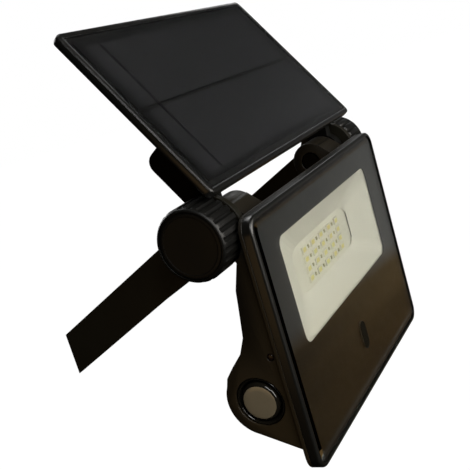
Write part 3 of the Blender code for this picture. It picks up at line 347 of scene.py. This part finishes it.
smoked_lens = tinted_plastic("smoked_polycarbonate", "0B0D0B", "090B09", 0.004, 0.20, 0.0, 0.1)
button_horn = tinted_plastic("smoky_translucent_cap", "877C66", "7C725D", 0.004, 0.30, 1.0)
ring_gloss = tinted_plastic("gloss_ring_abs", "171511", "1B1914", 0.004, 0.14)
indicator_tint = tinted_plastic("red_tinted_lens", "1C0F0A", "21120B", 0.002, 0.25)
ground_edge = tinted_plastic("ground_glass_edge", "211E19", "27241E", 0.001, 0.60)
seal_rubber = tinted_plastic("silicone_rubber", "0E0E0D", "131312", 0.003, 0.75)
chip_resin = tinted_plastic("black_epoxy", "11110F", "151513", 0.001, 0.50)
# Painted shade: the resistors' grey stands for the shade between the LED packages.
resistor_painted_shade = tinted_plastic("resistor_painted_shade", "BDB898", "ACA688", 0.001, 0.60)
board_green = tinted_plastic("green_solder_mask", "1C5A38", "174C2F", 0.003, 0.40)
cell_sleeve = tinted_plastic("blue_shrink_sleeve", "28509C", "234789", 0.010, 0.30)
print("small plastics ready")

# %% [markdown]
# ## Finish for each CAD node
# The record names a material slot for each CAD node. Every node takes the finish of its slot first, so
# nothing is left plain. Nodes that are one slot in the record but another moulding on the real lamp are then
# changed.

# %% Dress the CAD nodes
SLOT_FINISH = {
    "painted_steel": bracket_coat, "zinc_steel": zinc_plate, "black_abs": housing_abs, "gloss_black": enamel,
    "clear_glass": front_pane_glass, "white_optic": reflector_white, "led_phosphor": phosphor,
    "chip_black": chip_resin, "green_board": board_green, "black_rubber": seal_rubber,
    "cell_wrap": cell_sleeve, "solar_cell": silicon, "smoked_lens": smoked_lens, "button_cap": button_horn,
    "indicator_red": indicator_tint, "brass_insert": turned_brass, "silver_ribbon": dark_ribbon,
}
slots = {part["node"]: part["material_slot"] for part in frame["record"]["subparts"]}
for node, cad in frame["nodes"].items():
    cad.data.materials.clear()
    cad.data.materials.append(SLOT_FINISH[slots[node]])
for node, finish in {"panel_glazing": solar_cover_glass, "led_board": board_white, "front_bezel": bezel_abs,
                     "panel_frame": tray_abs, "left_knob_cap": knob_abs, "right_knob_cap": knob_abs}.items():
    frame["nodes"][node].data.materials[0] = finish
print("dressed", len(slots), "nodes")

# %% [markdown]
# ## Finishing a piece
# A piece becomes an object only once its mesh is done. Its place is in its mesh, and its object stays at the
# origin, as every CAD node's does. Shading is smooth, but an edge sharper than a set angle stays crisp.

# %% Make an object of a mesh
body_of_node = {node: body for body,
                nodes in frame["record"]["behaviour"]["bodies"].items() for node in nodes}


def finish_piece(name, shape, finishes, nodes, crease=32, outward=True):
    """Turns a bmesh into a piece that stands for some CAD nodes and rides on their body."""
    if outward:
        bmesh.ops.recalc_face_normals(shape, faces=shape.faces)
    mesh = bpy.data.meshes.new(name)
    shape.to_mesh(mesh)
    shape.free()
    for finish in finishes:
        mesh.materials.append(finish)
    mesh.polygons.foreach_set("use_smooth", [True] * len(mesh.polygons))
    mesh.set_sharp_from_angle(angle=math.radians(crease))
    piece = bpy.data.objects.new(name, mesh)
    bpy.context.scene.collection.objects.link(piece)
    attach(piece, body_of_node[nodes[0]])
    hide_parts(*nodes)
    print(name, len(mesh.polygons), "faces")
    return piece


def smooth_copy(name, node, finish, crease=32, wall_finish=None):
    """A CAD node's own shape, its triangles joined up so that round walls shade smoothly. Walls may differ."""
    shape = bmesh.new()
    shape.from_mesh(frame["nodes"][node].data)
    bmesh.ops.remove_doubles(shape, verts=shape.verts, dist=0.000002)
    bmesh.ops.dissolve_limit(shape, angle_limit=math.radians(0.4), verts=shape.verts, edges=shape.edges)
    shape.normal_update()
    for face in shape.faces:
        face.material_index = int(wall_finish is not None and abs(face.normal.y) < 0.9)
    return finish_piece(name, shape, [finish, wall_finish or finish], [node], crease, outward=False)


# %% [markdown]
# ## Mouldings whose CAD shape is right
# The housing, bracket, necks and panel tray are already the right shape in CAD, but their round walls are
# made of flat strips of triangles. A joined copy with smooth shading turns those strips into one round wall,
# which is quicker and truer than modelling the shape again.

# %% Housing, bracket, necks and tray
smooth_copy("moulded_housing", "rear_housing", housing_abs, 34)
smooth_copy("bent_steel_bracket", "wall_bracket", bracket_coat, 30)
# The necks take the painted-shade copy of black ABS.
smooth_copy("left_panel_neck", "left_neck", shaded_neck_abs, 34)
smooth_copy("right_panel_neck", "right_neck", shaded_neck_abs, 34)
smooth_copy("solar_panel_tray", "panel_frame", tray_abs, 30)
for number, node in enumerate(["left_pivot_bolt", "right_pivot_bolt"]):
    smooth_copy("hex_bolt_%d" % (number + 1), node, black_zinc, 25)
smooth_copy("lamp_front_pane", "front_glass", front_pane_glass, 12, ground_edge)
smooth_copy("left_battery", "left_battery_cell", cell_sleeve, 25)
smooth_copy("right_battery", "right_battery_cell", cell_sleeve, 25)
smooth_copy("indicator_dome", "indicator_lens", indicator_tint, 40)

# %% [markdown]
# ## Front bezel
# A bezel 5 mm deep frames the glass. Its outer edge is rolled over in a radius of almost 2 mm, which draws
# the broad soft line of light round the lamp. A rounded rectangle is one flat face with its four corners
# bevelled. It is made thick, its front rim is bevelled, and the face is inset and pushed in for the glass to
# lie in. A last inset leaves the ledge that carries the glass, and the two loops that remain are bridged into
# the opening.

# %% Bezel
BEZEL_WIDTH = 0.200
BEZEL_HEIGHT = 0.1394
BEZEL_CORNER = 0.009
BEZEL_LIP = 0.0024
BEZEL_ROLL = 0.0018
BEZEL_LEDGE = 0.0080
POCKET_DEPTH = 0.0041


def rounded_slab(shape, width, height, corner, front, back, middle):
    """A thick rounded rectangle that faces the front. Gives its front and back faces."""
    made = bmesh.ops.create_grid(shape, x_segments=1, y_segments=1, size=0.5)["verts"]
    bmesh.ops.scale(shape, vec=(width, height, 1), verts=made)
    bmesh.ops.bevel(shape, geom=made, offset=corner, segments=12, profile=0.5, affect="VERTICES", material=-1)
    bmesh.ops.rotate(shape, verts=shape.verts, cent=(0, 0, 0),
                     matrix=Matrix.Rotation(math.radians(90), 3, "X"))
    bmesh.ops.translate(shape, verts=shape.verts, vec=(0, front, middle))
    grown = bmesh.ops.extrude_face_region(shape, geom=shape.faces[:])["geom"]
    bmesh.ops.translate(shape, verts=[v for v in grown if isinstance(v, bmesh.types.BMVert)],
                        vec=(0, back - front, 0))
    bmesh.ops.recalc_face_normals(shape, faces=shape.faces)
    by_depth = sorted(shape.faces, key=lambda f: f.calc_center_median().y)
    return by_depth[0], by_depth[-1]


def front_bezel():
    low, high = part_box("front_bezel")
    middle = (low[2] + high[2]) / 2
    shape = bmesh.new()
    front, back = rounded_slab(shape, BEZEL_WIDTH, BEZEL_HEIGHT, BEZEL_CORNER, low[1], high[1], middle)
    bmesh.ops.inset_region(shape, faces=[back], thickness=BEZEL_LIP + BEZEL_LEDGE, depth=0.0)
    back_loop = list(back.edges)
    bmesh.ops.delete(shape, geom=[back], context="FACES_ONLY")
    bmesh.ops.bevel(shape, geom=list(front.edges), offset=BEZEL_ROLL, segments=6, profile=0.5, affect="EDGES",
                    material=-1)
    shape.normal_update()
    front = min((f for f in shape.faces if f.normal.y < -0.99), key=lambda f: f.calc_center_median().y)
    bmesh.ops.inset_region(shape, faces=[front], thickness=BEZEL_LIP - BEZEL_ROLL, depth=0.0)
    floor = bmesh.ops.extrude_discrete_faces(shape, faces=[front])["faces"][0]
    bmesh.ops.translate(shape, verts=floor.verts[:], vec=(0, POCKET_DEPTH, 0))
    bmesh.ops.inset_region(shape, faces=[floor], thickness=BEZEL_LEDGE, depth=0.0)
    front_loop = list(floor.edges)
    bmesh.ops.delete(shape, geom=[floor], context="FACES_ONLY")
    bmesh.ops.bridge_loops(shape, edges=front_loop + back_loop)
    return finish_piece("rolled_edge_bezel", shape, [bezel_abs], ["front_bezel"], 40)


front_bezel()

# %% [markdown]
# ## Hand knobs
# Each knob is a fluted grip of 39 mm, as wide as a jar lid, so that a wet hand can tighten it. A ring of
# points is extruded along the axle into a thick wall, and points between the ribs are pulled in, which is how
# a mould cutter would mill the grooves. A recess in the outer end holds the flat cap.

# %% Hand knobs
HUB = Vector((0.0, -0.117, 0.05669))
KNOB_RIBS = 24
KNOB_RADIUS = 0.0195
GROOVE_DEPTH = 0.00105


def ring_at(shape, x, radius, groove, steps=KNOB_RIBS * 8):
    """A ring of points round the axle, pulled in between the ribs."""
    made = bmesh.ops.create_circle(shape, cap_ends=False, segments=steps, radius=radius)["verts"]
    for point in made:
        turn = math.atan2(point.co.y, point.co.x) * KNOB_RIBS
        hollow = max(0.0, math.cos(turn)) ** 0.7
        point.co *= 1 - groove * hollow / radius
    bmesh.ops.rotate(shape, verts=made, cent=(0, 0, 0), matrix=Matrix.Rotation(math.radians(90), 3, "Y"))
    bmesh.ops.translate(shape, verts=made, vec=HUB + Vector((x, 0, 0)))
    return made


def ring_edges(points):
    """The edges that join neighbours of one ring."""
    inside = set(points)
    return list({edge for point in points for edge in point.link_edges if set(edge.verts) <= inside})


def hand_knob(word, side):
    """Profile from the arm outwards: foot, ribbed barrel, rounded rim, recess for the cap."""
    shape = bmesh.new()
    profile = [(0.0904, 0.0172, 0.0), (0.0910, 0.0182, 0.0003), (0.0921, KNOB_RADIUS, GROOVE_DEPTH),
               (0.1093, KNOB_RADIUS, GROOVE_DEPTH), (0.1103, 0.0192, 0.0005), (0.1107, 0.0190, 0.0),
               (0.1114, 0.0186, 0.0), (0.1119, 0.0178, 0.0)]
    rings = [ring_at(shape, side * x, radius, groove) for x, radius, groove in profile]
    for first, second in zip(rings, rings[1:]):
        bmesh.ops.bridge_loops(shape, edges=ring_edges(first) + ring_edges(second))
    end = bmesh.ops.contextual_create(shape, geom=ring_edges(rings[-1]))["faces"][0]
    bmesh.ops.inset_region(shape, faces=[end], thickness=0.00035, depth=0.0)
    recess = bmesh.ops.extrude_discrete_faces(shape, faces=[end])["faces"][0]
    bmesh.ops.translate(shape, verts=recess.verts[:], vec=(-side * 0.0012, 0, 0))
    bore = ring_at(shape, side * 0.0904, 0.0058, 0.0)
    bmesh.ops.bridge_loops(shape, edges=ring_edges(rings[0]) + ring_edges(bore))
    floor = ring_at(shape, side * 0.1014, 0.0058, 0.0)
    bmesh.ops.bridge_loops(shape, edges=ring_edges(bore) + ring_edges(floor))
    bmesh.ops.contextual_create(shape, geom=ring_edges(floor))
    return finish_piece(word + "_hand_knob", shape, [knob_abs], [word + "_knob"], 38)


hand_knob("left", -1)
hand_knob("right", 1)

# %% [markdown]
# ## Knob caps
# A flat disc with a shallow dish closes each knob. Its profile is spun round the axle, which gives a clean
# round step at the edge, and the step catches a thin arc of light.

# %% Knob caps
def spun(name, profile, axis_point, finishes, nodes, side=-1, crease=32, outer=None):
    """Spins a profile of (x, radius) round an axis along X. Past the outer radius it takes its second finish."""
    shape = bmesh.new()
    points = [shape.verts.new(axis_point + Vector((side * x, radius, 0))) for x, radius in profile]
    line = [shape.edges.new(pair) for pair in zip(points, points[1:])]
    bmesh.ops.spin(shape, geom=points + line, cent=axis_point, axis=(1, 0, 0), angle=math.tau,
                   steps=64, use_merge=True, use_duplicate=False)
    bmesh.ops.remove_doubles(shape, verts=shape.verts, dist=0.000005)
    for face in shape.faces:
        from_axis = max((v.co - axis_point).yz.length for v in face.verts)
        face.material_index = int(outer is not None and from_axis > outer)
    return finish_piece(name, shape, finishes, nodes, crease)


for word, side in (("left", -1), ("right", 1)):
    cap_profile = [(0.11085, 0.0), (0.11085, 0.0170), (0.11145, 0.0170), (0.11158, 0.0167), (0.11158, 0.0152),
                   (0.11140, 0.0149), (0.11132, 0.0)]
    spun(word + "_dished_cap", cap_profile, HUB, [knob_abs], [word + "_knob_cap"], side, 24)

# %% [markdown]
# ## Mode button
# The button is a crowned cap of 22 mm that stands a little out of its ring. Both are lathe shapes, so both
# are spun. The cap's pale face is a slow curve, and its glossy black shoulder rolls over and holds the bright
# glint.

# %% Mode button and its ring
BUTTON_AXIS = Vector((0.0, -0.1209, -0.03491))
CAP_FACE_RADIUS = 0.0093
crown = [(0.0909, 0.0), (0.0909, 0.0030), (0.0949, 0.0030), (0.0949, 0.0109), (0.0965, 0.0110),
         (0.0975, 0.01085),
         (0.0983, 0.0105), (0.0988, 0.0101), (0.0991, 0.0097), (0.09925, CAP_FACE_RADIUS), (0.09932, 0.0086),
         (0.09938, 0.0060), (0.0994, 0.0030), (0.0994, 0.0)]
spun("crowned_mode_button", crown, BUTTON_AXIS, [button_horn, ring_gloss], ["power_button"], -1, 50,
     CAP_FACE_RADIUS + 0.0001)
ring_profile = [(0.0917, 0.0114), (0.0917, 0.0135), (0.0972, 0.0135), (0.0980, 0.0133), (0.0983, 0.0129),
                (0.0980, 0.0124), (0.0968, 0.0119), (0.0945, 0.0115), (0.0917, 0.0114)]
spun("button_trim_ring", ring_profile, BUTTON_AXIS, [ring_gloss], ["button_ring"], -1, 45)

# %% [markdown]
# ## LEDs
# Five columns and four rows of small LED packages stand on the board. A package is a pale body with a pool of
# phosphor set in its face, so each is a box whose face is inset, pushed in and given the phosphor finish.
# Between the columns stand tiny resistors, grey as painted shade between the packages. They are copied across
# one thin carrier, so the whole field is one piece. The board behind them closes the foot of the white tray.

# %% LED field
LED_COLUMNS = [-0.0272, -0.0136, 0.0, 0.0136, 0.0272]
LED_ROWS = [0.02191, 0.01616, 0.01041, 0.00466]
CARRIER_FRONT = -0.13222
BOARD_FRONT = -0.13195


def small_box(shape, centre, size, edge):
    """A box with rounded edges. Gives its faces."""
    made = bmesh.ops.create_cube(shape, size=1.0)["verts"]
    bmesh.ops.scale(shape, vec=size, verts=made)
    bmesh.ops.translate(shape, vec=centre, verts=made)
    edges = list({e for v in made for e in v.link_edges})
    rounded = bmesh.ops.bevel(shape, geom=edges, offset=edge, segments=2, profile=0.5, affect="EDGES",
                              material=-1)
    return list({f for v in rounded["verts"] for f in v.link_faces})


def led_circuit_board():
    low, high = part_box("led_board")
    shape = bmesh.new()
    rounded_slab(shape, high[0] - low[0], high[2] - low[2], 0.002, BOARD_FRONT, high[1],
                 (low[2] + high[2]) / 2)
    return finish_piece("led_circuit_board", shape, [board_white], ["led_board"], 40)


def led_field():
    shape = bmesh.new()
    small_box(shape, (0, CARRIER_FRONT + 0.00015, 0.01329), (0.0610, 0.0003, 0.0214), 0.00005)
    for x in LED_COLUMNS:
        for z in LED_ROWS:
            faces = small_box(shape, (x, CARRIER_FRONT - 0.0004, z), (0.0062, 0.0009, 0.0040), 0.00012)
            front = min(faces, key=lambda f: f.calc_center_median().y)
            bmesh.ops.inset_region(shape, faces=[front], thickness=0.0006, depth=0.0)
            bmesh.ops.inset_region(shape, faces=[front], thickness=0.0002, depth=-0.0002)
            front.material_index = 1
    # Painted shade: small grey resistors between the columns, darker than the packages.
    for x in [-0.0204, -0.0068, 0.0068, 0.0204]:
        for z in LED_ROWS:
            for face in small_box(shape, (x, CARRIER_FRONT - 0.0003, z), (0.0013, 0.0007, 0.0020), 0.0001):
                face.material_index = 2
    return finish_piece("led_field", shape, [ceramic, phosphor, resistor_painted_shade], ["led_array"], 30,
                        outward=False)


led_circuit_board()
led_field()

# %% [markdown]
# ## Floor, light and camera
# The floor is a plain white sheet a little below the lamp. The room is dim and grey, brighter on the right,
# so the black plastic stays black, and the glass shows a grey wall above a brown floor of planks. Six
# softboxes do the rest. A broad one in front fills the white tray, two above draw the top edges, a tall one
# on the left rims the knobs and the panel, a warm one low on the left lights the lamp's side, and one behind
# shows the back.

# %% Floor
floor_shape = bmesh.new()
bmesh.ops.create_circle(floor_shape, cap_ends=True, segments=96, radius=9.0)
bmesh.ops.translate(floor_shape, verts=floor_shape.verts, vec=(0, 0, -0.34))
floor_mesh = bpy.data.meshes.new("pale_floor")
floor_shape.to_mesh(floor_mesh)
floor_shape.free()
floor = bpy.data.objects.new("pale_floor", floor_mesh)
bpy.context.scene.collection.objects.link(floor)
floor_finish, floor_tree, floor_place = start_finish("white_paper")
fibre = add_node(floor_tree, "ShaderNodeTexNoise", {"Scale": 40.0, "Detail": 2.0}, {"Vector": floor_place})
paper = add_node(floor_tree, "ShaderNodeMix", {6: linear("FFFFFF"), 7: linear("FEFEFE")},
                 {0: fibre.outputs["Fac"]}, data_type="RGBA")
end_finish(floor_tree, {"Roughness": 0.9, "Emission Strength": 1.01, "Specular IOR Level": 0.0,
                        "Base Color": linear("202020")}, {"Emission Color": paper.outputs[2]})
floor_mesh.materials.append(floor_finish)
floor.visible_glossy = False
floor.visible_diffuse = False
floor.visible_transmission = False
print("floor at", -0.34)

# %% Room and lights
world = bpy.data.worlds.new("studio")
bpy.context.scene.world = world
world.use_nodes = True
sky = world.node_tree
sky.nodes.clear()
direction = add_node(sky, "ShaderNodeTexCoord")
parts = add_node(sky, "ShaderNodeSeparateXYZ", links={"Vector": direction.outputs["Generated"]})
rightward = add_node(sky, "ShaderNodeMapRange", {"From Min": 0.70, "From Max": 0.95},
                     {"Value": parts.outputs["X"]})
height = add_node(sky, "ShaderNodeMapRange", {"From Min": -1.0, "From Max": 1.0},
                  {"Value": parts.outputs["Z"]})
slant = add_node(sky, "ShaderNodeMapRange",
                 {"From Min": 0.75, "From Max": 0.95, "To Min": 0.066, "To Max": -0.024},
                 {"Value": parts.outputs["X"]})
level = add_node(sky, "ShaderNodeMath", links={0: height.outputs[0], 1: slant.outputs[0]}, operation="ADD")
bands = add_node(sky, "ShaderNodeValToRGB", links={"Fac": level.outputs[0]})
BANDS = [(0.28, "54391A"), (0.31, "6A5028"), (0.352, "76603F"), (0.358, "8C8B88"), (0.41, "777776"),
         (0.50, "747473"), (0.56, "3A3A3A"), (0.62, "5A5A5A"), (0.66, "3C3C3C"), (0.72, "1C1C1C"),
         (1.0, "303030")]
for place, colour in BANDS[1:-1]:
    bands.color_ramp.elements.new(place)
for stop, (place, colour) in zip(bands.color_ramp.elements, BANDS):
    stop.position = place
    stop.color = linear(colour)
planks = add_node(sky, "ShaderNodeCombineXYZ", links={"X": level.outputs[0], "Y": parts.outputs["X"]})
stretch = add_node(sky, "ShaderNodeMapping", {"Scale": (70, 6, 1)}, {"Vector": planks.outputs[0]})
streaks = add_node(sky, "ShaderNodeTexNoise", {"Scale": 1.0, "Detail": 2.0}, {"Vector": stretch.outputs[0]})
is_floor = add_node(sky, "ShaderNodeMath", {1: 0.352}, {0: level.outputs[0]}, operation="LESS_THAN")
streak_depth = add_node(sky, "ShaderNodeMapRange", {"From Min": 0.42, "From Max": 0.62, "To Max": 0.60},
                        {"Value": streaks.outputs["Fac"]})
streak = add_node(sky, "ShaderNodeMath", links={0: is_floor.outputs[0], 1: streak_depth.outputs[0]},
                  operation="MULTIPLY")
planked = add_node(sky, "ShaderNodeMix", {7: linear("2A1808")}, {0: streak.outputs[0], 6: bands.outputs[0]},
                   data_type="RGBA")
room = add_node(sky, "ShaderNodeMix", {6: linear("0C0B08")}, {0: rightward.outputs[0], 7: planked.outputs[2]},
                data_type="RGBA")
ray = add_node(sky, "ShaderNodeLightPath")
seen = add_node(sky, "ShaderNodeMix", {7: (1, 1, 1, 1)},
                {0: ray.outputs["Is Camera Ray"], 6: room.outputs[2]},
                data_type="RGBA")
glow = add_node(sky, "ShaderNodeBackground", {"Strength": 1.0}, {"Color": seen.outputs[2]})
add_node(sky, "ShaderNodeOutputWorld", links={"Surface": glow.outputs[0]})


def softbox(name, place, target, width, height, watts, colour):
    """A rectangular soft light that faces a point."""
    light = bpy.data.lights.new(name, "AREA")
    light.shape = "RECTANGLE"
    light.size = width
    light.size_y = height
    light.energy = watts
    light.color = linear(colour)[:3]
    lamp = bpy.data.objects.new(name, light)
    lamp.location = place
    lamp.rotation_euler = (Vector(target) - Vector(place)).to_track_quat("-Z", "Y").to_euler()
    bpy.context.scene.collection.objects.link(lamp)
    return lamp


softbox("front_fill", (-0.15, -1.7, 0.45), (0, -0.14, 0.0), 1.6, 1.2, 41, "FFFAF3")
softbox("top_strip", (0.35, 0.35, 1.2), (0, -0.12, 0.05), 0.9, 0.35, 7, "FFFFFF")
softbox("edge_light", (-0.80, -0.90, 1.04), (-0.08, -0.12, 0.06), 0.28, 0.80, 7, "FFFFFF")
softbox("far_right_top", (1.39, 0.27, 0.73), (0, -0.13, 0.05), 0.5, 0.35, 0.9, "FFFFFF")
softbox("back_fill", (0.7, 1.8, 0.7), (0, 0, 0.03), 1.2, 0.9, 16, "FFFFFF")
softbox("low_left_warm", (-1.3, 0.25, -0.28), (-0.1, -0.12, -0.02), 0.8, 0.4, 0.55, "FFCF8C")
print("room and six softboxes")

# %% [markdown]
# ## Camera
# The camera looks at the lamp from its left and a little above, about 0.6 m away, through a lens of 61 mm.
# Its three axes are written as a matrix, because its roll matters: the bracket's arms and the panel's edge
# show it.

# %% Camera
camera_data = bpy.data.cameras.new("camera")
camera_data.sensor_width = 36.0
camera_data.lens = 61.28
camera_data.clip_start = 0.01
camera_data.clip_end = 50.0
camera = bpy.data.objects.new("camera", camera_data)
axes = Matrix(((0.42968, 0.32271, -0.84334), (-0.85754, -0.14671, -0.49306), (-0.28284, 0.93506, 0.2137)))
camera.matrix_world = Matrix.Translation((-0.42569, -0.32663, 0.1383)) @ axes.to_4x4()
bpy.context.scene.collection.objects.link(camera)
bpy.context.scene.camera = camera
bpy.context.scene.view_settings.view_transform = "Standard"
print("camera at", [round(c, 3) for c in camera.location])
